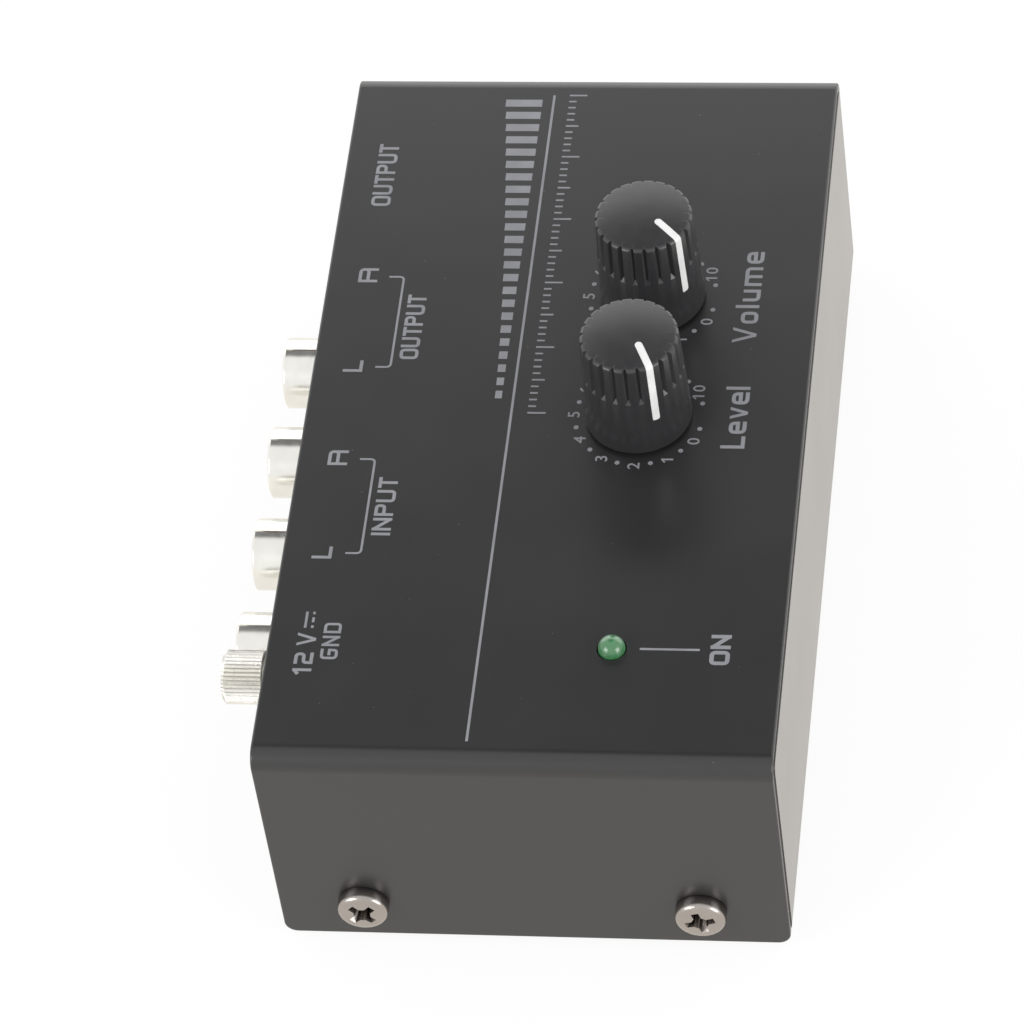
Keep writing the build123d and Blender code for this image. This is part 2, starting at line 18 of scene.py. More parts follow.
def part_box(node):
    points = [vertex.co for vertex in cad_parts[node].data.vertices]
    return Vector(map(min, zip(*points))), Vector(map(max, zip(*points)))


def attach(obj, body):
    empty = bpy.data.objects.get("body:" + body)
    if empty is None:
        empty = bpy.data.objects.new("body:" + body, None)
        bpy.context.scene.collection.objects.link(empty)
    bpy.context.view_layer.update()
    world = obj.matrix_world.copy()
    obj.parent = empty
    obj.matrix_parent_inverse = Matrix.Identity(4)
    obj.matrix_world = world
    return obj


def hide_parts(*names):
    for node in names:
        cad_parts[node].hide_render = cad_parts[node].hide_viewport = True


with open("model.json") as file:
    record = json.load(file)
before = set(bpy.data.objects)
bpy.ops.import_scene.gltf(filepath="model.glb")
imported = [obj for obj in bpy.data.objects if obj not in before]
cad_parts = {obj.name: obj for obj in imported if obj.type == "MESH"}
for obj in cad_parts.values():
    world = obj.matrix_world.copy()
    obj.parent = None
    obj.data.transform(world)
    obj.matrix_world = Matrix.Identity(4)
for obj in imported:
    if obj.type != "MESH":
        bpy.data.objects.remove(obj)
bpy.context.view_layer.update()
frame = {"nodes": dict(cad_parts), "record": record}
MM = 0.001

# %% [markdown]
# ## Places that the frame gives
#
# Everything that is added later is placed from the frame's own boxes. The cover is the box
# that one sees, so its centre and its painted top are where the legends and the camera start.

# %% Read places from the frame
cover_low, cover_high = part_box("top_cover")
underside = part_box("chassis_tray")[0].z
deck = cover_high.z
centre = Vector(((cover_low.x + cover_high.x) / 2, (cover_low.y + cover_high.y) / 2, deck))


def middle(node):
    """Centre of a node's box."""
    low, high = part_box(node)
    return (low + high) / 2


print("deck at", round(deck / MM, 2), "mm, centre", [round(v / MM, 2) for v in centre])

# %% [markdown]
# ## Working by hand, in code
#
# A few helpers stand in for clicks. The first ones leave a single object selected, and pick its
# faces, edges or corners by their place and direction, as a modeller would with the mouse. A
# mesh's selection can only be set from code in object mode, so each of them leaves edit mode for
# a moment and ends in it, ready for the next operator. A hair is the slack within which two
# places count as the same.

# %% Selecting
LEVEL = 0.99
DEAD_LEVEL = 0.9999
HAIR = 0.001 * MM
MIDDLE_REACH = 0.1 * MM


def only(obj):
    """Leave this one object selected and active."""
    bpy.ops.object.select_all(action="DESELECT")
    obj.select_set(True)
    bpy.context.view_layer.objects.active = obj
    return obj


def done():
    """Back to object mode."""
    bpy.ops.object.mode_set(mode="OBJECT")


def clear_picks(obj, kind):
    """Deselect the whole mesh, with FACE, EDGE or VERT as what is picked next."""
    only(obj)
    bpy.ops.object.mode_set(mode="EDIT")
    bpy.ops.mesh.select_mode(type=kind)
    bpy.ops.mesh.select_all(action="DESELECT")
    done()


def pick_faces(obj, test):
    """Enter edit mode with just the faces selected whose centre and normal pass the test."""
    clear_picks(obj, "FACE")
    for face in obj.data.polygons:
        face.select = test(face.center, face.normal)
    bpy.ops.object.mode_set(mode="EDIT")


def pick_edges(obj, test):
    """Enter edit mode with just the edges selected whose two ends pass the test."""
    clear_picks(obj, "EDGE")
    points = obj.data.vertices
    for edge in obj.data.edges:
        edge.select = test(points[edge.vertices[0]].co, points[edge.vertices[1]].co)
    bpy.ops.object.mode_set(mode="EDIT")


def pick_verts(obj, test):
    """Enter edit mode with just the vertices selected whose place passes the test."""
    clear_picks(obj, "VERT")
    for vert in obj.data.vertices:
        vert.select = test(vert.co)
    bpy.ops.object.mode_set(mode="EDIT")


def on_top(spot, normal):
    return normal.z > LEVEL


def underneath(spot, normal):
    return normal.z < -LEVEL


def mid_top(spot, normal):
    """The flat face in the middle of a top."""
    return normal.z > DEAD_LEVEL and spot.xy.length < MIDDLE_REACH


print("a face counts as level when its normal leans less than",
      round(math.degrees(math.acos(LEVEL)), 1), "degrees")

# %% [markdown]
# The next helpers shape and combine: one extrudes straight up, one applies a modifier at once,
# one cuts or joins two bodies with a boolean, and others copy and join. The last one hands a
# finished piece over: its place goes into its mesh, its edges are smoothed by angle, and it is
# told which moving body it belongs to.

# %% Shaping and combining
def push_up(distance):
    """Extrude the picked faces upwards."""
    bpy.ops.mesh.extrude_region_move(TRANSFORM_OT_translate={"value": (0, 0, distance)})


def set_down(obj):
    """Put the object's place, turn and scale into its mesh."""
    only(obj)
    bpy.ops.object.transform_apply(location=True, rotation=True, scale=True)
    return obj


def modify(obj, kind, **settings):
    """Add a modifier and apply it at once."""
    only(obj)
    modifier = obj.modifiers.new(kind.title(), kind)
    for name, value in settings.items():
        setattr(modifier, name, value)
    bpy.ops.object.modifier_apply(modifier=modifier.name)
    return obj


def cut(obj, tool, operation="DIFFERENCE"):
    """Boolean of two bodies. The tool is thrown away afterwards."""
    modify(obj, "BOOLEAN", operation=operation, object=tool, solver="EXACT")
    bpy.data.objects.remove(tool)
    return obj


def copy_of(obj):
    """A copy with a mesh of its own."""
    only(obj)
    bpy.ops.object.duplicate()
    return bpy.context.object


def joined(objects, name):
    """One or more objects made one."""
    only(objects[0])
    if len(objects) > 1:
        for obj in objects:
            obj.select_set(True)
        bpy.ops.object.join()
    bpy.context.object.name = name
    return bpy.context.object


# %% Handing a piece over
pieces = []


def hand_over(obj, body, slot, *nodes, smooth=30):
    """Finish a piece: its place in its mesh, soft shading, its body and replaced nodes. The slot
    is not used.
    """
    set_down(obj)
    bpy.ops.object.shade_smooth_by_angle(angle=math.radians(smooth))
    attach(obj, body)
    if nodes:
        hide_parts(*nodes)
    pieces.append(obj)
    print(obj.name, "faces", len(obj.data.polygons), "rides on", body)


# %% [markdown]
# ## Knobs: the blank
#
# Each knob is a moulded cap, a little narrower at the top, with a rounded rim and a shallow
# dome. It could be spun from a profile, but a cone with a bevelled rim is quicker to read:
# the rim is one bevel, and the dome is made of insets that each rise to the height that a
# sphere would have there. The same blank, drawn in a little, is needed again for the bottom of
# the pointer's groove, so it is a function.

# %% The knob's blank
knob_low, knob_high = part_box("level_knob")
KNOB_HEIGHT = knob_high.z - knob_low.z
KNOB_BASE = 6.1 * MM
KNOB_TOP = 5.6 * MM
KNOB_CROWN = 0.35 * MM
KNOB_RIM = 0.42 * MM
KNOB_SIDES = 192
ROUND_STEPS = 5
KNOB_RINGS = 6


def dome_rise(radius, edge, crown):
    """Height of a shallow dome above its edge, at a radius."""
    sphere = (edge ** 2 + crown ** 2) / (2 * crown)
    return math.sqrt(sphere ** 2 - radius ** 2) - math.sqrt(sphere ** 2 - edge ** 2)


def raise_dome(obj, edge, crown, rings):
    """Inset the middle of a flat top ring by ring, each at the dome's height there."""
    step = edge / rings
    pick_faces(obj, mid_top)
    for ring in range(1, rings):
        before = dome_rise(edge - (ring - 1) * step, edge, crown)
        after = dome_rise(edge - ring * step, edge, crown)
        bpy.ops.mesh.inset(thickness=step)
        bpy.ops.transform.translate(value=(0, 0, after - before))
    done()


def knob_blank(inset=0.0):
    """Uncut knob, standing on z = 0, drawn in by inset all round."""
    shoulder = KNOB_HEIGHT - KNOB_CROWN - inset
    bpy.ops.mesh.primitive_cone_add(
        vertices=KNOB_SIDES, radius1=KNOB_BASE - inset, radius2=KNOB_TOP - inset,
        depth=shoulder, location=(0, 0, shoulder / 2))
    blank = set_down(bpy.context.object)
    pick_faces(blank, on_top)
    bpy.ops.mesh.bevel(offset=KNOB_RIM, segments=ROUND_STEPS, affect="EDGES")
    done()
    raise_dome(blank, KNOB_TOP - inset - KNOB_RIM, KNOB_CROWN, KNOB_RINGS)
    return blank


print("knob height, mm:", round(KNOB_HEIGHT / MM, 2))

# %% [markdown]
# ## Knobs: the flutes
#
# The upper half of the side is cut into broad ribs by narrow grooves, twenty-four steps round
# with one left out where the white line runs. Each groove is a V that leans with the tapered
# side, so it keeps its depth, and its lower end slopes out to the surface as a small triangle
# that catches the light. One wedge is shaped from a cube and copied round the axis, and one
# boolean takes them all away. The wedge overshoots the cap's top and side, because a boolean
# leaves scraps where two faces lie in the same place.

# %% The flute cutter
FLUTES = 24
FLUTE_DEPTH = 0.48 * MM
FLUTE_WIDTH = 0.68 * MM
FLUTE_START = 7.5 * MM
FLUTE_OUTSIDE = 0.3 * MM
FLUTE_END_SLOPE = 1.2
OVERSHOOT = 1 * MM
TAPER = (KNOB_BASE - KNOB_TOP) / (KNOB_HEIGHT - KNOB_CROWN)


def flute_wedge():
    """One groove's worth of material, on the +Y side of a knob that stands on z = 0."""
    surface = KNOB_BASE - TAPER * FLUTE_START
    root = surface - FLUTE_DEPTH
    depth = FLUTE_DEPTH + FLUTE_OUTSIDE
    width = FLUTE_WIDTH * depth / FLUTE_DEPTH
    height = KNOB_HEIGHT - FLUTE_START + OVERSHOOT
    bpy.ops.mesh.primitive_cube_add(
        size=1, scale=(width, depth, height),
        location=(0, root + depth / 2, FLUTE_START + height / 2))
    wedge = set_down(bpy.context.object)
    pick_verts(wedge, lambda p: p.y < root + HAIR)
    bpy.ops.transform.resize(value=(0, 1, 1))
    bpy.ops.mesh.remove_doubles(threshold=HAIR / 10)
    done()
    pick_verts(wedge, lambda p: p.y < root + HAIR and p.z < FLUTE_START + HAIR)
    bpy.ops.transform.translate(value=(0, 0, FLUTE_END_SLOPE * depth))
    done()
    pick_verts(wedge, lambda p: p.z > FLUTE_START + height - HAIR)
    bpy.ops.transform.translate(value=(0, -TAPER * height, 0))
    done()
    return wedge


def flute_ring():
    """All grooves of one knob, with the place of the pointer left out."""
    wedge = flute_wedge()
    ring = []
    for i in range(1, FLUTES):
        wedge_copy = copy_of(wedge)
        wedge_copy.rotation_euler.z = i * math.tau / FLUTES
        ring.append(set_down(wedge_copy))
    bpy.data.objects.remove(wedge)
    return joined(ring, "flute_ring")


print("grooves per knob:", FLUTES - 1)

# %% [markdown]
# ## Knobs: the pointer line
#
# A white line is let into the knob. It starts near the middle of the top with a round end,
# bends over the rim and runs down most of the side, and it keeps its width and depth all the
# way. Moulded lines are rarely true to the axis, and this one is turned by a few degrees about
# the point where it bends. A long bar is the line seen from above, with its inner end rounded
# by two bevels of nearly half its width. What that bar shares with the blank, less the drawn-in
# blank, is the inlay, and a slightly wider bar makes its groove.

# %% The pointer's bar
LINE_WIDTH = 0.87 * MM
LINE_DEPTH = 0.4 * MM
LINE_START = 1.75 * MM
LINE_LOW = 4.8 * MM
LINE_GAP = 0.03 * MM
LINE_SINK = 0.03 * MM
LINE_SKEW = math.radians(-4.5)
LINE_FOOT_ROUND = 0.3 * MM
NEARLY_HALF = 0.499


def pointer_bar(play=0.0):
    """Bar over the pointer's whole run, wider and longer by play all round."""
    width = LINE_WIDTH + 2 * play
    start = LINE_START - play
    length = KNOB_BASE + OVERSHOOT - start
    height = KNOB_HEIGHT
    low = LINE_LOW - play
    bpy.ops.mesh.primitive_cube_add(
        size=1, scale=(width, length, height), location=(0, start + length / 2, low + height / 2))
    bar = set_down(bpy.context.object)
    pick_edges(bar, lambda a, b: max(a.y, b.y) < start + HAIR and abs(a.z - b.z) > height / 2)
    bpy.ops.mesh.bevel(offset=width * NEARLY_HALF, segments=2 * ROUND_STEPS, affect="EDGES")
    done()
    pick_edges(bar, lambda a, b: max(a.z, b.z) < low + HAIR and abs(a.y - b.y) > 2 * width)
    bpy.ops.mesh.bevel(offset=LINE_FOOT_ROUND, segments=ROUND_STEPS, affect="EDGES")
    done()
    bend = Vector((0, KNOB_TOP - KNOB_RIM, 0))
    bar.location = bend - Matrix.Rotation(LINE_SKEW, 3, "Z") @ bend
    bar.rotation_euler.z = LINE_SKEW
    return set_down(bar)


print("pointer line, mm:", round(LINE_WIDTH / MM, 2), "wide,", round(LINE_DEPTH / MM, 2), "deep")

# %% [markdown]
# Underneath, a knob is hollow, with a bore for its shaft. Then the grooves are cut, and every
# sharp edge that they leave gets a small bevel, because a moulded edge is never sharp. In a
# tight corner that bevel can put two slivers on the same three points, and validate takes the
# spare one out. The finished knob is stood on its shaft and turned to where its control is set.

# %% Cut and fill the knobs
SHAFT_ROOM = 3.02 * MM
HOLLOW_RADIUS = 5.0 * MM
HOLLOW_DEPTH = 2.0 * MM
BORE_DEPTH = 7.0 * MM
FLUTE_EDGE = 0.07 * MM
FLUTE_EDGE_ANGLE = math.radians(28)
FILL_OVERLAP = 0.01 * MM


def knob_body():
    """The fluted cap with its groove, hollow and bore."""
    cap = knob_blank()
    pick_faces(cap, underneath)
    bpy.ops.mesh.inset(thickness=KNOB_BASE - HOLLOW_RADIUS)
    push_up(HOLLOW_DEPTH)
    bpy.ops.mesh.inset(thickness=HOLLOW_RADIUS - SHAFT_ROOM)
    push_up(BORE_DEPTH)
    done()
    cut(cap, flute_ring())
    modify(cap, "BEVEL", width=FLUTE_EDGE, segments=2, limit_method="ANGLE",
           angle_limit=FLUTE_EDGE_ANGLE, use_clamp_overlap=True)
    groove = cut(pointer_bar(LINE_GAP), knob_blank(LINE_DEPTH))
    cut(cap, groove)
    cap.data.validate()
    return cap


def pointer_line():
    """The inlaid white line."""
    line = cut(pointer_bar(), knob_blank(LINE_SINK), "INTERSECT")
    return cut(line, knob_blank(LINE_DEPTH - FILL_OVERLAP))


# %% Stand them on their shafts
DIAL_SWEEP = 300.0
DIAL_STEPS = 10
LEVEL_SETTING = 1.0
VOLUME_SETTING = 0.3
settings = {"level": LEVEL_SETTING, "volume": VOLUME_SETTING}

for control, setting in settings.items():
    foot = middle(control + "_knob")
    foot.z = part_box(control + "_knob")[0].z
    turn = math.radians(DIAL_SWEEP / 2 - setting * DIAL_SWEEP / DIAL_STEPS)
    made = ((knob_body(), "_cap", "knob_plastic", "_knob"),
            (pointer_line(), "_line", "pointer_white", "_pointer"))
    for piece, ending, slot, replaced in made:
        piece.name = control + ending
        piece.location = foot
        piece.rotation_euler.z = turn
        hand_over(piece, control + "_control", slot, control + replaced)

# %% [markdown]
# ## Cover screws
#
# Four pan-head screws hold the cover, two in each end. From close by, a pan head is a low drum
# with a rolled rim, a nearly flat face and a cross recess whose wings narrow and slope towards
# a point. The head is a cylinder with its rim bevelled and its face raised by insets. The
# recess is a square well and two bars across it, each drawn in at the bottom. They are joined
# into one tool, and a boolean takes it away.

# %% The recess
HEAD_RADIUS = 2.9 * MM
HEAD_HEIGHT = 1.8 * MM
HEAD_ROUND = 0.7 * MM
HEAD_CROWN = 0.1 * MM
THREAD_RADIUS = 1.5 * MM
SCREW_LENGTH = 4.6 * MM
RECESS_SPAN = 3.6 * MM
RECESS_WIDTH = 0.9 * MM
RECESS_DEPTH = 1.7 * MM
RECESS_ABOVE = 0.2 * MM
WELL_WIDTH = 1.9 * MM
WELL_NARROWING = (0.85, 0.85)
BAR_NARROWING = (0.65, 0.75)


def recess_tool(span, width, narrowing, turn):
    """Part of the cross recess, narrower at the bottom, its top above the head's face."""
    height = RECESS_DEPTH + HEAD_CROWN + RECESS_ABOVE
    bpy.ops.mesh.primitive_cube_add(
        size=1, scale=(span, width, height),
        location=(0, 0, HEAD_HEIGHT - RECESS_DEPTH + height / 2))
    tool = set_down(bpy.context.object)
    pick_faces(tool, underneath)
    bpy.ops.transform.resize(value=(*narrowing, 1))
    done()
    tool.rotation_euler.z = math.radians(turn)
    return set_down(tool)


def cross_recess():
    """The whole tool: a well with two bars across it."""
    recess = recess_tool(WELL_WIDTH, WELL_WIDTH, WELL_NARROWING, 45)
    for turn in (0, 90):
        cut(recess, recess_tool(RECESS_SPAN, RECESS_WIDTH, BAR_NARROWING, turn), "UNION")
    return recess


print("recess, mm:", round(RECESS_SPAN / MM, 2), "across,", round(RECESS_DEPTH / MM, 2), "deep")

# %% One screw
SCREW_SIDES = 64
SCREW_RINGS = 4
SCREW_EDGE = 0.04 * MM
SCREW_EDGE_ANGLE = math.radians(40)


def pan_screw():
    """A screw on z = 0, head upwards."""
    bpy.ops.mesh.primitive_cylinder_add(
        vertices=SCREW_SIDES, radius=HEAD_RADIUS, depth=HEAD_HEIGHT,
        location=(0, 0, HEAD_HEIGHT / 2))
    screw = set_down(bpy.context.object)
    pick_faces(screw, on_top)
    bpy.ops.mesh.bevel(offset=HEAD_ROUND, segments=ROUND_STEPS, affect="EDGES")
    done()
    raise_dome(screw, HEAD_RADIUS - HEAD_ROUND, HEAD_CROWN, SCREW_RINGS)
    pick_faces(screw, underneath)
    bpy.ops.mesh.inset(thickness=HEAD_RADIUS - THREAD_RADIUS)
    push_up(-SCREW_LENGTH)
    done()
    cut(screw, cross_recess())
    return modify(screw, "BEVEL", width=SCREW_EDGE, segments=2, limit_method="ANGLE",
                  angle_limit=SCREW_EDGE_ANGLE)


master = pan_screw()
print("screw faces:", len(master.data.polygons))

# %% Four screws
SCREW_ROW = 19.1 * MM
SCREW_RISE = 6.0 * MM
SCREW_TURNS = {-1: 17, 1: 45}
screws = []
for end in (-1, 1):
    for side in (-1, 1):
        screw = copy_of(master)
        screw.rotation_euler = (0, math.radians(90 * end), 0)
        screw.rotation_euler.rotate_axis("Z", math.radians(SCREW_TURNS[side]))
        screw.location = (centre.x + end * (cover_high.x - centre.x),
                          centre.y + side * SCREW_ROW, underside + SCREW_RISE)
        screws.append(set_down(screw))
bpy.data.objects.remove(master)
hand_over(joined(screws, "end_screws"), "housing", "nickel", "cover_screws")

# %% [markdown]
# ## Ground terminal's thumb nut
#
# The turntable's earth lead is clamped under a small knurled nut. Its straight knurl is a ring
# of fine ridges. They are made from a cylinder with twice as many sides as ridges, whose every
# other corner is drawn in, after the ends have been chamfered. The bore shows the post's end,
# so it goes right through: both end faces are inset, and the two holes are bridged.

# %% The thumb nut
nut_low, nut_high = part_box("ground_thumb_nut")
NUT_RADIUS = (nut_high.x - nut_low.x) / 2
NUT_LENGTH = nut_high.y - nut_low.y
NUT_BORE = 1.8 * MM
NUT_CHAMFER = 0.35 * MM
RIDGES = 38
RIDGE_DEPTH = 0.26 * MM

bpy.ops.mesh.primitive_cylinder_add(
    vertices=2 * RIDGES, radius=NUT_RADIUS, depth=NUT_LENGTH, location=(0, 0, NUT_LENGTH / 2))
nut = set_down(bpy.context.object)
nut.name = "thumb_nut"
pick_faces(nut, lambda spot, normal: abs(normal.z) > LEVEL)
bpy.ops.mesh.bevel(offset=NUT_CHAMFER, segments=1, affect="EDGES")
done()
pick_faces(nut, lambda spot, normal: abs(normal.z) > LEVEL)
bpy.ops.mesh.inset(thickness=NUT_RADIUS - NUT_CHAMFER - NUT_BORE)
bpy.ops.mesh.bridge_edge_loops()
done()


def in_a_valley(point):
    """Is this one of every other corner of the nut's side?"""
    corner = round(math.atan2(point.y, point.x) / math.tau * 2 * RIDGES)
    return point.xy.length > NUT_RADIUS - 10 * HAIR and corner % 2 == 1


pick_verts(nut, in_a_valley)
valley = 1 - RIDGE_DEPTH / NUT_RADIUS
bpy.ops.transform.resize(value=(valley, valley, 1))
done()
nut.rotation_euler.x = -math.pi / 2
nut.location = (middle("ground_thumb_nut").x, nut_low.y, middle("ground_thumb_nut").z)
hand_over(nut, "terminal_nut", "nickel", "ground_thumb_nut", smooth=20)

# %% [markdown]
# ## A squared alphabet for the legends
#
# The words are printed in pale grey ink, in letters with squared bowls. A stock font has round
# bowls, so the letters are drawn as strokes on a grid of three by three points, named a to i
# from the top left, as one would draw them with a technical pen. A stroke's bends are rounded
# and its ends are square. A sharp corner is two strokes that cross. A plus sign after a
# stroke's points closes it to a ring, a slash is for a slanted stroke, whose ends are trimmed
# level, and a full stop lets it end right on its points. Each stroke becomes a flat ribbon of
# ink, closed all round, and every next one lies a little higher, as wet ink does.

# %% The alphabet
GRID = {name: (i % 3 / 2, 1 - i // 3 / 2) for i, name in enumerate("abcdefghi")}
FLAG_TIP = (0.0, 0.74)
GRID["j"] = FLAG_TIP
LETTERS = {
    "D": ["ag", "acig"], "G": ["cagif", "fe"], "I": ["ag"], "L": ["ag", "gi"],
    "N": ["ag", "ai.", "ci"], "O": ["acig+"], "P": ["ag", "acfd"], "R": ["ag", "acfd", "fi"],
    "T": ["ac", "bh"], "U": ["agic"], "V": ["ah/", "ch/"],
    "1": ["ci", "cj."], "2": ["acfdg", "gi"],
    "e": ["df", "fcagi"], "l": ["ag"], "m": ["ag", "abh", "bci"], "o": ["acig+"],
    "u": ["agi", "ci"], "v": ["ah/", "ch/"],
}
WIDTHS = {"I": 0, "l": 0, "1": 0.5, "T": 0.82, "P": 0.9, "U": 0.97, "V": 1.4, "m": 1.8}
SMALL = "emouv"
SMALL_HEIGHT = 0.73
print("signs drawn:", len(LETTERS))

# %% The pen
INK_THICKNESS = 0.02 * MM
INK_LAP = 0.002 * MM
INK_LIFT = 0.2 * INK_THICKNESS
INK_HEIGHT = deck + INK_LIFT
BEND_STEPS = 6
BEND_LIMIT = 0.49


def bent(points, reach, closed):
    """A path whose inner corners are rounded, each starting its bend this far away."""
    count = len(points)
    path = []
    for i, point in enumerate(points):
        if not closed and i in (0, count - 1):
            path.append(point)
            continue
        before, after = points[i - 1], points[(i + 1) % count]
        start, end = (point + way.normalized() * min(reach, BEND_LIMIT * way.length)
                      for way in (before - point, after - point))
        for k in range(BEND_STEPS + 1):
            t = k / BEND_STEPS
            path.append((1 - t) ** 2 * start + 2 * t * (1 - t) * point + t ** 2 * end)
    return path


def ribbon(points, pen, reach=0.0, closed=False, overrun=0.0, lap=0):
    """A flat ribbon of ink along points on the deck, its ends carried on by the overrun."""
    path = [Vector((*p[:2], 0)) for p in points]
    if not closed:
        path[0] += (path[0] - path[1]).normalized() * overrun
        path[-1] += (path[-1] - path[-2]).normalized() * overrun
    path = bent(path, reach, closed)
    curve = bpy.data.curves.new("ink", "CURVE")
    curve.dimensions = "3D"
    curve.twist_mode = "Z_UP"
    curve.extrude = (pen - INK_THICKNESS) / 2
    curve.bevel_depth = INK_THICKNESS / 2
    curve.bevel_resolution = 0
    curve.use_fill_caps = True
    spline = curve.splines.new("POLY")
    spline.points.add(len(path) - 1)
    for knot, place in zip(spline.points, path):
        knot.co = (place.x, place.y, INK_HEIGHT + lap * INK_LAP, 1)
        knot.tilt = math.pi / 2
    spline.use_cyclic_u = closed
    obj = bpy.data.objects.new("ink", curve)
    bpy.context.collection.objects.link(obj)
    only(obj)
    bpy.ops.object.convert(target="MESH")
    return bpy.context.object


def trimmed(obj, height, side):
    """Cut ink off beyond a line across the deck: above it for side 1, below it for side -1."""
    pick_faces(obj, lambda spot, normal: True)
    bpy.ops.mesh.bisect(plane_co=(0, height, 0), plane_no=(0, side, 0), clear_outer=True,
                        use_fill=True)
    done()
    return obj


print("ink, mm:", round(INK_THICKNESS / MM, 3), "thick")

# %% Letters and words
BEND = 0.19
SLANTED_NIB = 0.88


def letter(sign, left, base, cap, wide, pen):
    """The strokes of one sign, whose pen starts from (left, base)."""
    height = (cap if sign not in SMALL else SMALL_HEIGHT * cap) - pen
    strokes = []
    for lap, run in enumerate(LETTERS[sign]):
        names, mark = run.rstrip("+/."), run[-1]
        slanted = mark == "/"
        foot, rise = (base, height + pen) if slanted else (base + pen / 2, height)
        points = [(left + GRID[n][0] * wide, foot + GRID[n][1] * rise) for n in names]
        overrun = {"/": pen, ".": 0.0}.get(mark, pen / 2)
        nib = SLANTED_NIB * pen if slanted else pen
        stroke = ribbon(points, nib, BEND * cap, mark == "+", overrun, lap)
        if slanted:
            trimmed(stroke, base + height + pen, 1)
            trimmed(stroke, base, -1)
        strokes.append(stroke)
    return strokes


def word(text, x, y, cap, length, pen, gap):
    """A word, centred at millimetres from the deck's middle, its ink exactly this long."""
    widths = [WIDTHS.get(sign, 1) for sign in text]
    free = length - len(text) * pen - (len(text) - 1) * gap
    unit = free / sum(widths) * MM if sum(widths) else 0
    left = centre.x + (x - length / 2 + pen / 2) * MM
    base = centre.y + (y - cap / 2) * MM
    strokes = []
    for sign, width in zip(text, widths):
        strokes += letter(sign, left, base, cap * MM, unit * width, pen * MM)
        left += unit * width + (pen + gap) * MM
    return joined(strokes, text)


# %% [markdown]
# ## Dials
#
# Round each knob, the numbers 0 to 10 stand upright at every thirty degrees, and a dot sits
# half-way between each two of them and beyond both ends. All of it is worked out from the
# dial's sweep, so the pointer and the print agree. These small figures are plain round ones, so
# here the stock font serves: a text object, a little bolder than it comes, turned into a mesh.
# The flag of its figure 1 is lost at this size, so that figure gets a stroke of its own there.

# %% Numbers and dots
FIGURE_CIRCLE = 7.52 * MM
FIGURE_SIZE = 1.95 * MM
FIGURE_STRETCH = 1.06
FIGURE_SPACING = 1.12
FIGURE_BOLD = 0.016 * MM
FLAG_PEN = 0.2 * MM
FLAG_START = 0.08 * MM
FLAG_REACH = 0.42 * MM
FLAG_END = 0.44 * MM
DOT_CIRCLE = 7.33 * MM
DOT_RADIUS = 0.29 * MM
DOT_SIDES = 24
DOT_EDGE = 0.3 * INK_THICKNESS


def around(hub, radius, setting):
    """The place on a dial's circle for a setting."""
    angle = math.radians(-DIAL_SWEEP / 2 + setting * DIAL_SWEEP / DIAL_STEPS)
    return hub + radius * Vector((math.sin(angle), math.cos(angle), 0))


def dot(place):
    """A printed dot: a very low disc with its rim rounded off."""
    bpy.ops.mesh.primitive_cylinder_add(
        vertices=DOT_SIDES, radius=DOT_RADIUS, depth=INK_THICKNESS,
        location=(place.x, place.y, INK_HEIGHT))
    disc = set_down(bpy.context.object)
    return modify(disc, "BEVEL", width=DOT_EDGE, segments=1, limit_method="ANGLE")


def figure(text, place):
    """A printed number, centred at a place."""
    bpy.ops.object.text_add(location=(0, 0, 0))
    shape = bpy.context.object
    shape.data.body = text
    shape.data.size = FIGURE_SIZE
    shape.data.align_x = "CENTER"
    shape.data.offset = FIGURE_BOLD
    shape.data.space_character = FIGURE_SPACING
    shape.data.extrude = INK_THICKNESS / 2
    only(shape)
    bpy.ops.object.convert(target="MESH")
    shape = bpy.context.object
    heights = [v.co.y for v in shape.data.vertices]
    widths = [v.co.x for v in shape.data.vertices]
    shape.scale = (FIGURE_STRETCH, 1, 1)
    shape.location = (place.x - FIGURE_STRETCH * (max(widths) + min(widths)) / 2,
                      place.y - (max(heights) + min(heights)) / 2, INK_HEIGHT)
    return set_down(shape)


def flagged(shape):
    """A number whose leading 1 gets its flag, a short slanted stroke from its top."""
    stem = min(v.co.x for v in shape.data.vertices) + FLAG_PEN / 2
    top = max(v.co.y for v in shape.data.vertices)
    flag = ribbon([(stem, top - FLAG_START), (stem - FLAG_REACH, top - FLAG_END)], FLAG_PEN, lap=1)
    return joined([shape, flag], "flagged")


# %% Print both dials
for control in settings:
    hub = middle(control + "_knob")
    marks = [dot(around(hub, DOT_CIRCLE, step - 0.5)) for step in range(DIAL_STEPS + 2)]
    for step in range(DIAL_STEPS + 1):
        number = figure(str(step), around(hub, FIGURE_CIRCLE, step))
        marks.append(flagged(number) if str(step).startswith("1") else number)
    hand_over(joined(marks, control + "_dial"), "housing", "pointer_white")

# %% [markdown]
# ## Words and lines
#
# The controls, the light and the sockets are named with plain words. Two brackets tie the
# letters R and L of a pair of sockets to their word, and one long line divides the rear part of
# the deck from the front part. Places are in millimetres from the middle of the deck.

# %% Print the words
PEN = 0.40
THIN_PEN = 0.27
RULE_PEN = 0.30
CONTROL_PEN = 0.46
LIGHT_PEN = 0.50
GROUND_PEN = 0.34
BRACKET_RISE = 1.75
BRACKET_BEND = 0.55


def line(*spots, pen=THIN_PEN, bend=0.0):
    """A printed line through spots on the deck."""
    points = [(centre.x + x * MM, centre.y + y * MM) for x, y in spots]
    return ribbon(points, pen * MM, bend * MM)


def bracket(left, right, base):
    """Square bracket that opens to the rear."""
    top = base + BRACKET_RISE
    return line((left, top), (left, base), (right, base), (right, top), bend=BRACKET_BEND)


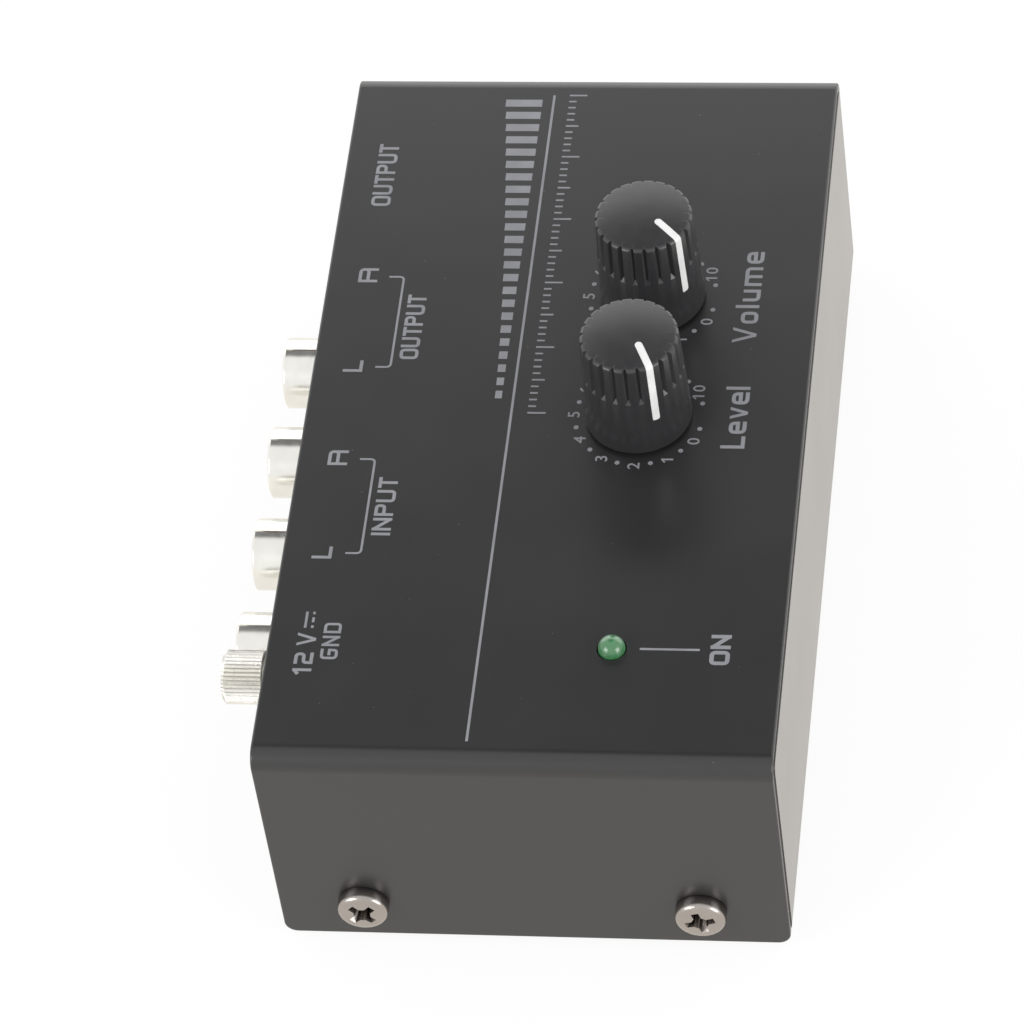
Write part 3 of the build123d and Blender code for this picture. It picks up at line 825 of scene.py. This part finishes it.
# A word's numbers are its middle's place, its capitals' height, its length, the pen and the gap.
legends = {
    "light_legend": [word("ON", -35.55, -21.85, 2.25, 4.25, LIGHT_PEN, 0.26),
                     line((-35.6, -12.92), (-35.6, -19.58), pen=RULE_PEN)],
    "control_legends": [word("Level", -1.83, -20.8, 2.76, 9.25, CONTROL_PEN, 0.39),
                        word("Volume", 16.51, -20.85, 2.76, 14.05, CONTROL_PEN, 0.57)],
    "output_legend": [word("OUTPUT", 11.42, 17.8, 2.2, 9.97, PEN, 0.2),
                      word("L", 5.27, 24.1, 2.28, 1.75, PEN, 0),
                      word("R", 19.37, 24.0, 2.28, 2.2, PEN, 0),
                      bracket(5.19, 19.16, 19.75)],
    "input_legend": [word("INPUT", -15.68, 17.93, 2.2, 8.55, PEN, 0.3),
                     word("L", -22.58, 24.24, 2.28, 1.75, PEN, 0),
                     word("R", -8.6, 24.15, 2.28, 2.2, PEN, 0),
                     bracket(-22.6, -8.75, 19.85)],
    "plug_legend": [word("OUTPUT", 35.38, 23.92, 2.33, 9.98, PEN, 0.2)],
    "ground_legend": [word("GND", -35.26, 21.67, 1.98, 5.15, GROUND_PEN, 0.38)],
    "dividing_line": [line((-48.9, 4.95), (48.5, 4.95), pen=RULE_PEN)],
}
for name, parts in legends.items():
    hand_over(joined(parts, name), "housing", "pointer_white")

# %% [markdown]
# The power inlet gets its voltage and the usual sign for direct current, a long bar over three
# dashes.

# %% Sign for the power inlet
SIGN_PEN = 0.30
SIGN_BAR, SIGN_DASHES = 24.82, 24.02
power = [word("12", -38.58, 24.43, 2.15, 3.25, PEN, 0.62),
         word("V", -35.06, 24.43, 2.15, 1.85, PEN, 0),
         line((-33.45, SIGN_BAR), (-31.15, SIGN_BAR), pen=SIGN_PEN)]
for x, half in ((-33.27, 0.18), (-32.3, 0.36), (-31.33, 0.18)):
    power.append(line((x - half, SIGN_DASHES), (x + half, SIGN_DASHES), pen=SIGN_PEN))
hand_over(joined(power, "power_legend"), "housing", "pointer_white")

# %% [markdown]
# ## A level scale
#
# The free right-hand part of the deck carries a plain decoration that suits an amplifier: a row
# of bars that rise like a level meter, and under the dividing line a fine scale of ticks, every
# fifth and tenth of which is longer. Both are rows of short ribbons.

# %% Print the bars
BARS = 24
BAR_PITCH = 2.0
BAR_PEN = 1.15
BAR_START = 1.2
BAR_BASE = 6.3
LOWEST_BAR, HIGHEST_BAR = 0.8, 4.4
BAR_CURVE = 1.4
bars = []
for i in range(BARS):
    x = BAR_START + i * BAR_PITCH
    rise = LOWEST_BAR + (HIGHEST_BAR - LOWEST_BAR) * (i / (BARS - 1)) ** BAR_CURVE
    bars.append(line((x, BAR_BASE), (x, BAR_BASE + rise), pen=BAR_PEN))
hand_over(joined(bars, "level_bars"), "housing", "pointer_white")

# %% Print the ticks
TICKS = 51
TICK_START = -1.5
TICK_TOP = 3.1
TICK_PEN = 0.25
LONG_TICK, MIDDLE_TICK, SHORT_TICK = 2.1, 1.5, 0.9
ticks = []
for i in range(TICKS):
    x = TICK_START + i
    drop = LONG_TICK if i % 10 == 0 else MIDDLE_TICK if i % 5 == 0 else SHORT_TICK
    ticks.append(line((x, TICK_TOP), (x, TICK_TOP - drop), pen=TICK_PEN))
hand_over(joined(ticks, "level_scale"), "housing", "pointer_white")

# %% [markdown]
# ## Finishes
#
# Every finish starts from one Principled shader. What makes paint look like paint is small:
# a roughness that wanders, a fine grain in the surface, a fleck of dust. The helpers below
# build those from noise on object coordinates, so nothing slides when a part moves. They are
# short because the same few nodes come back in every finish, and in the floor and the room. A
# Mix node has sockets for numbers, vectors and colours under the same names, so its colour
# sockets are reached by their numbers.

# %% Nodes
MIX_FIRST, MIX_SECOND, MIX_OUT = 6, 7, 2
RAYS = 6


def finish(name, colour, roughness, metallic=0.0, **sockets):
    """A new material with one Principled shader."""
    material = bpy.data.materials.new(name)
    material.use_nodes = True
    shader = material.node_tree.nodes["Principled BSDF"]
    shader.inputs["Base Color"].default_value = (*colour, 1)
    shader.inputs["Roughness"].default_value = roughness
    shader.inputs["Metallic"].default_value = metallic
    for socket, value in sockets.items():
        shader.inputs[socket.replace("_", " ")].default_value = value
    return material


def node(material, kind, **values):
    """A node of a material or of the world, with its settings and unlinked inputs."""
    new = material.node_tree.nodes.new(kind)
    for name, value in values.items():
        if name in new.inputs:
            new.inputs[name].default_value = value
        else:
            setattr(new, name, value)
    return new


def wire(material, source, target):
    material.node_tree.links.new(source, target)


def shader_of(material):
    return material.node_tree.nodes["Principled BSDF"]


# %% Textures
def placed(material, stretch=(1, 1, 1)):
    """Object coordinates in millimetres, stretched where a grain runs one way."""
    coordinates = node(material, "ShaderNodeTexCoord")
    mapping = node(material, "ShaderNodeMapping", Scale=[s / MM for s in stretch])
    wire(material, coordinates.outputs["Object"], mapping.inputs["Vector"])
    return mapping.outputs["Vector"]


def noise(material, size, detail=2.0, stretch=(1, 1, 1)):
    """Noise with blotches of about this size in millimetres."""
    texture = node(material, "ShaderNodeTexNoise", Scale=1 / size, Detail=detail)
    wire(material, placed(material, stretch), texture.inputs["Vector"])
    return texture.outputs["Fac"]


def spread(material, source, low, high, start=0.3, end=0.7):
    """Map a texture's middle range to low ... high."""
    ends = {"From Min": start, "From Max": end, "To Min": low, "To Max": high}
    ranged = node(material, "ShaderNodeMapRange", **ends)
    wire(material, source, ranged.inputs["Value"])
    return ranged.outputs[0]


def vary_roughness(material, source, low, high):
    wire(material, spread(material, source, low, high), shader_of(material).inputs["Roughness"])


def vary_colour(material, factor, first, second):
    """Blend two colours by a factor."""
    mix = node(material, "ShaderNodeMix", data_type="RGBA")
    mix.inputs[MIX_FIRST].default_value = (*first, 1)
    mix.inputs[MIX_SECOND].default_value = (*second, 1)
    wire(material, factor, mix.inputs[0])
    wire(material, mix.outputs[MIX_OUT], shader_of(material).inputs["Base Color"])


def bumpy(material, source, depth, strength=1.0):
    """Surface relief of a depth in millimetres."""
    bump = node(material, "ShaderNodeBump", Distance=depth * MM, Strength=strength)
    wire(material, source, bump.inputs["Height"])
    wire(material, bump.outputs["Normal"], shader_of(material).inputs["Normal"])


# %% [markdown]
# ### Black paint
#
# The box has a thin satin coat. It's nearly black, its gloss wanders a little over a few
# centimetres, and up close it has a fine even tooth. Paint draws back from a sharp edge and
# leaves it round, so a bevel node bends the shading near every edge. A few specks of dust have
# settled in it: a cell pattern gives each its place, and only some cells keep theirs. The cover
# has the satin coat and the tray a glossier one, which shows on the front seen at a flat angle.
#
# Noise filters treat surfaces below a roughness of about 0.27 as mirrors and those above it as
# matt. The satin coat stays wholly above that value, or faint contour lines would run over the
# deck wherever its wandering gloss crossed it.

# %% Black paint
PAINT_BLACK = (0.0215, 0.0215, 0.022)
PAINT_IOR = 1.6
GLOSS_PATCH = 14
DULLEST = 1.1
TOOTH = 0.45
TOOTH_DEPTH = 0.008
DUST = (0.10, 0.097, 0.093)
SPECK_PITCH = 2.2
SPECK_HEART, SPECK_RIM = 0.03, 0.055
SPECKS_KEPT = 0.5
EDGE_ROUNDING = 0.3 * MM


def dust_specks(paint):
    """1 on a speck, 0 beside it: the hearts of some cells of a cell pattern."""
    specks = node(paint, "ShaderNodeTexVoronoi", Scale=1 / SPECK_PITCH)
    wire(paint, placed(paint), specks.inputs["Vector"])
    near = spread(paint, specks.outputs["Distance"], 1, 0, SPECK_HEART, SPECK_RIM)
    chosen = node(paint, "ShaderNodeSeparateColor")
    wire(paint, specks.outputs["Color"], chosen.inputs[0])
    kept = node(paint, "ShaderNodeMath", operation="GREATER_THAN")
    kept.inputs[1].default_value = 1 - SPECKS_KEPT
    wire(paint, chosen.outputs[0], kept.inputs[0])
    both = node(paint, "ShaderNodeMath", operation="MULTIPLY")
    wire(paint, near, both.inputs[0])
    wire(paint, kept.outputs[0], both.inputs[1])
    return both.outputs[0]


def black_paint(name, dull):
    """A coat of black paint of this lowest roughness. The duller it is, the more tooth shows."""
    paint = finish(name, PAINT_BLACK, dull, IOR=PAINT_IOR)
    vary_roughness(paint, noise(paint, GLOSS_PATCH, 3), dull, DULLEST * dull)
    bumpy(paint, noise(paint, TOOTH, 2), TOOTH_DEPTH, dull)
    rounding = node(paint, "ShaderNodeBevel", samples=RAYS, Radius=EDGE_ROUNDING)
    relief = shader_of(paint).inputs["Normal"].links[0].from_node
    wire(paint, rounding.outputs[0], relief.inputs["Normal"])
    vary_colour(paint, dust_specks(paint), PAINT_BLACK, DUST)
    return paint


print("dust specks, mm:", round(2 * SPECK_HEART * SPECK_PITCH, 2), "across")

# %% [markdown]
# ### Bright and dull metals
#
# The socket shells and the nut are nickel: warm, bright, with soft dents from rolling. The
# screws have the same plating gone duller. Brass, tin and the turned shafts differ in colour
# and in how even their surface is, so one recipe serves them all. Painted shade darkens the
# colour where a surface is hemmed in, so the screws' recesses and the valleys of the nut's knurl
# are darker.

# %% Metals
METAL_PATCH = 0.9
SMOOTHER, ROUGHER = 0.85, 1.15
TARNISH_PATCH = 2.5
TARNISH = 0.93
HEMMED_IN, OPEN = 0.3, 0.8


def plated(name, colour, dull, dent_size, dent_depth, stretch=(1, 1, 1), metallic=1.0):
    """Plated metal with uneven gloss and shallow dents."""
    metal = finish(name, colour, dull, metallic)
    gloss = noise(metal, METAL_PATCH, 2, stretch)
    vary_roughness(metal, gloss, SMOOTHER * dull, ROUGHER * dull)
    tone = noise(metal, TARNISH_PATCH, 3, stretch)
    vary_colour(metal, spread(metal, tone, 0, 1), [TARNISH * c for c in colour], colour)
    bumpy(metal, noise(metal, dent_size, 2, stretch), dent_depth)
    return metal


def grimy(material, reach, darkest):
    """Painted shade: darken what is hemmed in within a reach in millimetres, a recess or a knurl.
    """
    colour = shader_of(material).inputs["Base Color"].links[0].from_socket
    hollow = node(material, "ShaderNodeAmbientOcclusion", samples=RAYS, Distance=reach * MM)
    shade_factor = spread(material, hollow.outputs["AO"], darkest, 1, HEMMED_IN, OPEN)
    hollow_shade_mix = node(material, "ShaderNodeMix", data_type="RGBA", blend_type="MULTIPLY")
    hollow_shade_mix.inputs[0].default_value = 1
    wire(material, colour, hollow_shade_mix.inputs[MIX_FIRST])
    wire(material, shade_factor, hollow_shade_mix.inputs[MIX_SECOND])
    wire(material, hollow_shade_mix.outputs[MIX_OUT], shader_of(material).inputs["Base Color"])
    return material


# %% [markdown]
# ### Plastics, rubber, board and ink
#
# Moulded plastic has a slight sparkle of its own from the tool's surface. The light is tinted
# resin that glows a little from inside, so it scatters light under its skin and has a clear
# coat. Ink is matt and slightly broken where it lies thin.

# %% Plastics and the rest
PLASTIC_PATCH = 1.2
PLASTIC_SMOOTHER, PLASTIC_ROUGHER = 0.99, 1.15
SHADE_PATCH = 3
DARKER, PALER = 0.9, 1.08


def moulded(name, colour, dull, grain=0.25, depth=0.004, **sockets):
    """Moulded plastic with a fine tooth and a slight change of shade."""
    plastic = finish(name, colour, dull, **sockets)
    gloss = noise(plastic, PLASTIC_PATCH, 3)
    vary_roughness(plastic, gloss, PLASTIC_SMOOTHER * dull, PLASTIC_ROUGHER * dull)
    vary_colour(plastic, spread(plastic, noise(plastic, SHADE_PATCH, 2), 0, 1),
                [DARKER * c for c in colour], [min(1, PALER * c) for c in colour])
    bumpy(plastic, noise(plastic, grain, 2), depth)
    return plastic


# %% Every finish by its slot
finishes = {
    "housing_paint": black_paint("satin_black_paint", 0.277),
    "nickel": plated("bright_nickel", (0.92, 0.91, 0.86), 0.2, 1.8, 0.014, metallic=0.8),
    "zinc_steel": plated("zinc_plate", (0.62, 0.62, 0.60), 0.3, 0.5, 0.01),
    "tin": plated("tinned_copper", (0.76, 0.76, 0.73), 0.3, 0.6, 0.015),
    "brass": plated("turned_brass", (0.72, 0.52, 0.24), 0.25, 0.3, 0.006),
    "shaft_metal": plated("turned_aluminium", (0.70, 0.70, 0.71), 0.28, 0.3, 0.006, (1, 1, 6)),
    "foot_rubber": moulded("black_rubber", (0.018, 0.018, 0.018), 0.75, 0.2, 0.02),
    "board": moulded("green_board", (0.015, 0.12, 0.045), 0.35, 0.6, 0.01),
    "component_black": moulded("black_moulding", (0.02, 0.02, 0.021), 0.5),
    "capacitor_sleeve": moulded("capacitor_sleeve", (0.012, 0.012, 0.03), 0.25),
    "film_red": moulded("red_dip", (0.32, 0.03, 0.02), 0.3, 1.0, 0.02),
    "resistor_blue": moulded("blue_lacquer", (0.12, 0.24, 0.38), 0.3, 0.8, 0.02),
    "lens_green": moulded("green_resin", (0.060, 0.228, 0.088), 0.22, 0.5, 0.002,
                          Coat_Weight=1.0, Coat_Roughness=0.06, Subsurface_Weight=0.3,
                          Subsurface_Scale=0.0006),
    "knob_plastic": moulded("knob_plastic", (0.031, 0.031, 0.033), 0.28, 0.2, 0.004, IOR=1.6),
    "pointer_white": moulded("white_filling", (0.90, 0.90, 0.89), 0.4),
    "liner_white": moulded("white_moulding", (0.80, 0.80, 0.77), 0.4),
    "liner_red": moulded("red_moulding", (0.45, 0.02, 0.02), 0.4),
    "wire_green": moulded("green_sleeve", (0.03, 0.22, 0.05), 0.4),
}
tray_paint = black_paint("glossy_black_paint", 0.17)
# Painted shade darkens the colour in the screws' recesses and in the valleys of the nut's knurl.
screw_nickel = grimy(plated("dull_nickel", (0.42, 0.385, 0.36), 0.23, 0.35, 0.012), 1.6, 0.12)
nut_nickel = grimy(plated("knurled_nickel", (0.86, 0.84, 0.79), 0.2, 0.16, 0.05), 0.35, 0.3)
ink = moulded("grey_ink", (0.262, 0.265, 0.287), 0.55, 0.12, 0.003)

# %% Put the finishes on
slot_of = {part["node"]: part["material_slot"] for part in frame["record"]["subparts"]}


def paint(obj, material):
    obj.data.materials.clear()
    obj.data.materials.append(material)


for name, obj in frame["nodes"].items():
    paint(obj, finishes[slot_of[name]])
own = {"level_cap": finishes["knob_plastic"], "volume_cap": finishes["knob_plastic"],
       "level_line": finishes["pointer_white"], "volume_line": finishes["pointer_white"],
       "end_screws": screw_nickel, "thumb_nut": nut_nickel}
for obj in pieces:
    paint(obj, own.get(obj.name, ink))
paint(frame["nodes"]["chassis_tray"], tray_paint)
print("finishes:", len(finishes) + 4)

# %% [markdown]
# ## The studio
#
# The box stands on a white floor in a white room under soft light. What the paint and the metal
# mirror is the room, so the room does most of the work here. It's white all round, but for one
# dark gap high up beyond the far end, between the ceiling and the far wall: that gap is what
# makes the deck look black from the camera, and a pale board under it makes the far half of the
# deck grow brighter. Two large soft boxes stand low on the left and right of the camera. They
# light the near end and put the two highlights on the power light and on the flutes' ends.
#
# The floor and the room have to be white to the camera and in what the metal mirrors, and yet
# light the box no more than they should. A Light Path node says what kind of ray is asking, so
# each kind can be given its own answer.

# %% Telling rays apart
def seen_by(material, *kinds):
    """1 for any of these kinds of rays, else 0."""
    path = node(material, "ShaderNodeLightPath")
    total = path.outputs[kinds[0]]
    for kind in kinds[1:]:
        highest = node(material, "ShaderNodeMath", operation="MAXIMUM")
        wire(material, total, highest.inputs[0])
        wire(material, path.outputs[kind], highest.inputs[1])
        total = highest.outputs[0]
    return total


def either(material, factor, first, second):
    """The second shader where the factor is 1, else the first."""
    choice = node(material, "ShaderNodeMixShader")
    for source, target in zip((factor, first, second), choice.inputs):
        wire(material, source, target)
    return choice.outputs[0]


# %% Floor
FLOOR_SIZE = 12
FLOOR_GLOW = 0.90
FLOOR_SHADE = 0.12
FLOOR_BOUNCE = 0.8
MIRRORED_FLOOR = (1.0, 0.96, 0.90)

bpy.ops.mesh.primitive_plane_add(size=FLOOR_SIZE, location=(0, 0, 0))
floor = bpy.context.object
floor.name = "floor"
white = bpy.data.materials.new("floor_white")
white.use_nodes = True
white.node_tree.nodes.clear()


def glowing(colour):
    """A floor that shines at this brightness and still takes a shadow."""
    both = node(white, "ShaderNodeAddShader")
    light = node(white, "ShaderNodeEmission", Strength=FLOOR_GLOW, Color=(*colour, 1))
    shade = node(white, "ShaderNodeBsdfDiffuse", Color=(*[FLOOR_SHADE] * 3, 1))
    wire(white, light.outputs[0], both.inputs[0])
    wire(white, shade.outputs[0], both.inputs[1])
    return both.outputs[0]


bounce = node(white, "ShaderNodeBsdfDiffuse", Color=(*[FLOOR_BOUNCE] * 3, 1))
mirrored = either(white, seen_by(white, "Is Glossy Ray", "Is Transmission Ray"),
                  bounce.outputs[0], glowing(MIRRORED_FLOOR))
seen = either(white, seen_by(white, "Is Camera Ray"), mirrored, glowing((1, 1, 1)))
wire(white, seen, node(white, "ShaderNodeOutputMaterial").inputs["Surface"])
paint(floor, white)
print("floor:", FLOOR_SIZE, "m wide")

# %% The room
ROOM_LIGHT = 0.72
ROOM_MIRRORED = 1.0
GAP_LIGHT = 0.03
GAP_DIRECTION = Vector((0.53, 0.07, 0.85)).normalized()
GAP_INNER = math.radians(13)
GAP_OUTER = math.radians(22)

room = bpy.context.scene.world or bpy.data.worlds.new("room")
bpy.context.scene.world = room
room.use_nodes = True
room.node_tree.nodes.clear()
direction = node(room, "ShaderNodeTexCoord")
along = node(room, "ShaderNodeVectorMath", operation="DOT_PRODUCT")
along.inputs[1].default_value = GAP_DIRECTION
wire(room, direction.outputs["Generated"], along.inputs[0])
gap_ends = {"From Min": math.cos(GAP_OUTER), "From Max": math.cos(GAP_INNER)}
in_gap = node(room, "ShaderNodeMapRange", interpolation_type="SMOOTHSTEP", **gap_ends)
wire(room, along.outputs["Value"], in_gap.inputs["Value"])


def lit(strength):
    """White light of this strength."""
    return node(room, "ShaderNodeBackground", Color=(1, 1, 1, 1), Strength=strength).outputs[0]


wall = either(room, seen_by(room, "Is Glossy Ray", "Is Transmission Ray"), lit(ROOM_LIGHT),
              lit(ROOM_MIRRORED))
wall = either(room, in_gap.outputs[0], wall, lit(GAP_LIGHT))
wall = either(room, seen_by(room, "Is Camera Ray"), wall, lit(1.0))
wire(room, wall, node(room, "ShaderNodeOutputWorld").inputs["Surface"])
print("gap at", round(math.degrees(math.asin(GAP_DIRECTION.z))), "degrees above the horizon")

# %% Lamps
def soft_box(name, place, aim, width, height, brightness):
    """A rectangular lamp with a given brightness of its face."""
    bpy.ops.object.light_add(type="AREA", location=place)
    lamp = bpy.context.object
    lamp.name = name
    lamp.rotation_euler = (aim - place).to_track_quat("-Z", "Y").to_euler()
    lamp.data.shape = "RECTANGLE"
    lamp.data.size = width
    lamp.data.size_y = height
    lamp.data.energy = brightness * math.pi * width * height
    lamp.visible_camera = False
    return lamp


BOX_DIRECTIONS = ((-0.49, -0.84, 0.30), (-0.64, 0.66, 0.42))
BOX_DISTANCE = 1.0
BOX_WIDTH, BOX_HEIGHT, BOX_LIGHT = 0.55, 0.5, 4.0
BOARD_DISTANCE = 0.45
BOARD_WIDTH, BOARD_HEIGHT, BOARD_LIGHT = 1.4, 0.48, 1.1
for towards in BOX_DIRECTIONS:
    place = centre + BOX_DISTANCE * Vector(towards).normalized()
    soft_box("soft_box", place, centre, BOX_WIDTH, BOX_HEIGHT, BOX_LIGHT)
level_with = Vector((0, 0, BOARD_HEIGHT / 2))
soft_box("far_board", level_with + Vector((BOARD_DISTANCE, 0, 0)), level_with, BOARD_WIDTH,
         BOARD_HEIGHT, BOARD_LIGHT)

# %% [markdown]
# ## The camera
#
# A long lens looks down on the near end from over the left shoulder, a little from the front,
# and is rolled so that the long edges lean. The aim is the point where its axis meets the deck.

# %% Camera
LENS = 211.67
SENSOR = 36
NEAREST, FARTHEST = 0.01, 50
AIM = Vector((-16.26, 3.33, 0)) * MM
DISTANCE = 678.07 * MM
HEADING = math.radians(12.86)
DOWN = math.radians(49.59)
ROLL = math.radians(-9.02)
look = Vector((math.cos(HEADING) * math.cos(DOWN), math.sin(HEADING) * math.cos(DOWN),
               -math.sin(DOWN)))
bpy.ops.object.camera_add(location=centre + AIM - look * DISTANCE)
camera = bpy.context.object
camera.data.lens = LENS
camera.data.sensor_width = SENSOR
camera.data.clip_start = NEAREST
camera.data.clip_end = FARTHEST
camera.rotation_euler = look.to_track_quat("-Z", "Y").to_euler()
camera.rotation_euler.rotate_axis("Z", ROLL)
bpy.context.scene.camera = camera
bpy.context.scene.view_settings.view_transform = "Standard"
print("camera at, mm:", [round(v / MM, 1) for v in camera.location])
